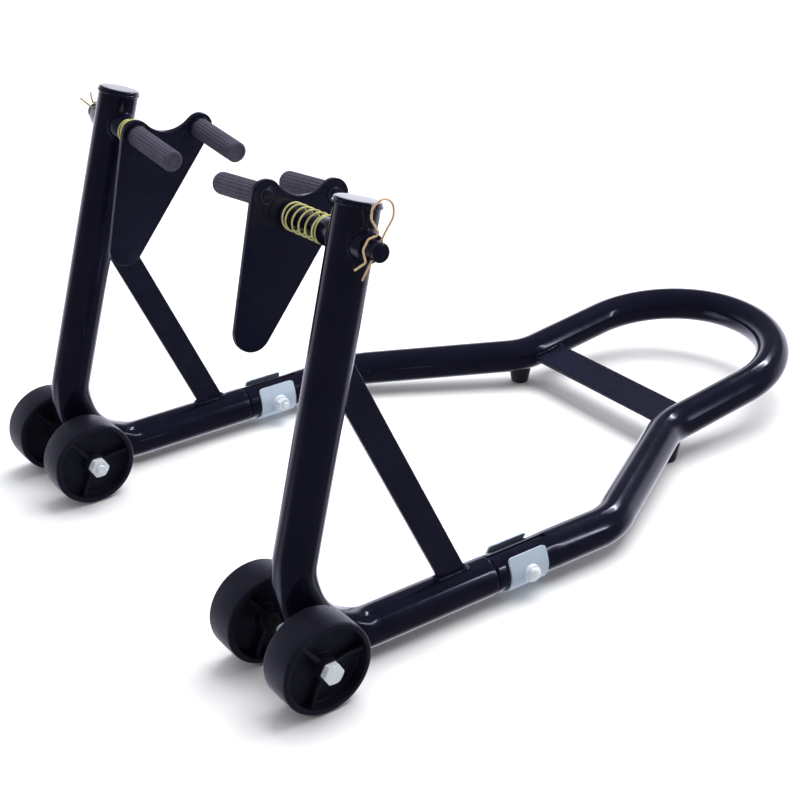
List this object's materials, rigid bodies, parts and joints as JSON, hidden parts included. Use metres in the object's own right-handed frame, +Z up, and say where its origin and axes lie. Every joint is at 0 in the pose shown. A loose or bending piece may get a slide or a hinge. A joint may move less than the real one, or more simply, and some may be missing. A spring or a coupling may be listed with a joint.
{
  "type": "motorcycle front paddock stand",
  "caption": "Front fork-lift paddock stand: bent tube frame on small wheels, with two sprung swinging cradles whose ribbed pegs lift the fork legs.",
  "frame": {"origin": "centre of the stand's bounding box, at floor level under wheels and feet", "axes": "+X across the stand to its right-hand side as seen from behind the wheels, +Y along the stand from the wheels to the handle loop, +Z up"},
  "size_m": [0.5668, 0.8332, 0.4165],
  "materials": {
    "frame_paint": "gloss",
    "plate_paint": "semi-gloss",
    "zinc": "bright zinc plate",
    "yellow_zinc": "yellow zinc plate",
    "copper_zinc": "bronze-toned zinc plate",
    "bare_steel": "satin",
    "wheel_plastic": "satin",
    "peg_rubber": "matte",
    "foot_rubber": "matte"
  },
  "bodies": {
    "frame": {"handle_tube": "frame_paint", "handle_crossbar": "frame_paint", "right_arm_tube": "frame_paint", "left_arm_tube": "frame_paint", "right_arm_sleeve": "frame_paint", "left_arm_sleeve": "frame_paint", "right_brace": "frame_paint", "left_brace": "frame_paint", "right_top_cap": "frame_paint", "left_top_cap": "frame_paint", "right_pivot_bush": "frame_paint", "left_pivot_bush": "frame_paint", "right_clamp_bracket": "zinc", "left_clamp_bracket": "zinc", "right_clamp_bolt": "zinc", "left_clamp_bolt": "zinc", "right_clamp_nut": "zinc", "left_clamp_nut": "zinc", "right_clamp_washers": "zinc", "left_clamp_washers": "zinc", "right_foot": "foot_rubber", "left_foot": "foot_rubber", "right_foot_stud": "frame_paint", "left_foot_stud": "frame_paint", "right_axle_bolt": "zinc", "left_axle_bolt": "zinc", "right_axle_nut": "zinc", "left_axle_nut": "zinc", "right_axle_washers": "zinc", "left_axle_washers": "zinc", "right_axle_spacers": "zinc", "left_axle_spacers": "zinc"},
    "right_outer_wheel": {"right_outer_wheel": "wheel_plastic"},
    "right_inner_wheel": {"right_inner_wheel": "wheel_plastic"},
    "right_spring_seat": {"right_spring": "yellow_zinc"},
    "right_cradle": {"right_cradle_plate": "plate_paint", "right_pivot_pin": "frame_paint", "right_front_peg_core": "bare_steel", "right_rear_peg_core": "bare_steel", "right_front_peg_sleeve": "peg_rubber", "right_rear_peg_sleeve": "peg_rubber", "right_r_clip": "copper_zinc"},
    "left_outer_wheel": {"left_outer_wheel": "wheel_plastic"},
    "left_inner_wheel": {"left_inner_wheel": "wheel_plastic"},
    "left_spring_seat": {"left_spring": "yellow_zinc"},
    "left_cradle": {"left_cradle_plate": "plate_paint", "left_pivot_pin": "frame_paint", "left_front_peg_core": "bare_steel", "left_rear_peg_core": "bare_steel", "left_front_peg_sleeve": "peg_rubber", "left_rear_peg_sleeve": "peg_rubber", "left_r_clip": "copper_zinc"}
  },
  "joints": [
    {"name": "right_outer_wheel_spin", "type": "hinge", "parent": "frame", "child": "right_outer_wheel", "pos_m": [0.258, -0.3736, 0.043], "axis": [1, 0, 0], "continuous": true},
    {"name": "right_inner_wheel_spin", "type": "hinge", "parent": "frame", "child": "right_inner_wheel", "pos_m": [0.17, -0.3736, 0.043], "axis": [1, 0, 0], "continuous": true},
    {"name": "right_cradle_slide", "type": "slide", "parent": "frame", "child": "right_spring_seat", "axis": [0.999, 0, 0.0454], "range_m": [0, 0.02], "stiffness_N_per_m": 2600, "springref_m": -0.008, "deforming": ["right_spring"]},
    {"name": "right_cradle_swing", "type": "hinge", "parent": "right_spring_seat", "child": "right_cradle", "pos_m": [0.20444, -0.29771, 0.375], "axis": [0.999, 0, 0.0454], "continuous": true},
    {"name": "left_outer_wheel_spin", "type": "hinge", "parent": "frame", "child": "left_outer_wheel", "pos_m": [-0.258, -0.3736, 0.043], "axis": [1, 0, 0], "continuous": true},
    {"name": "left_inner_wheel_spin", "type": "hinge", "parent": "frame", "child": "left_inner_wheel", "pos_m": [-0.17, -0.3736, 0.043], "axis": [1, 0, 0], "continuous": true},
    {"name": "left_cradle_slide", "type": "slide", "parent": "frame", "child": "left_spring_seat", "axis": [-0.999, 0, 0.0454], "range_m": [0, 0.02], "stiffness_N_per_m": 2600, "springref_m": -0.008, "deforming": ["left_spring"]},
    {"name": "left_cradle_swing", "type": "hinge", "parent": "left_spring_seat", "child": "left_cradle", "pos_m": [-0.20444, -0.29771, 0.375], "axis": [-0.999, 0, 0.0454], "continuous": true}
  ]
}
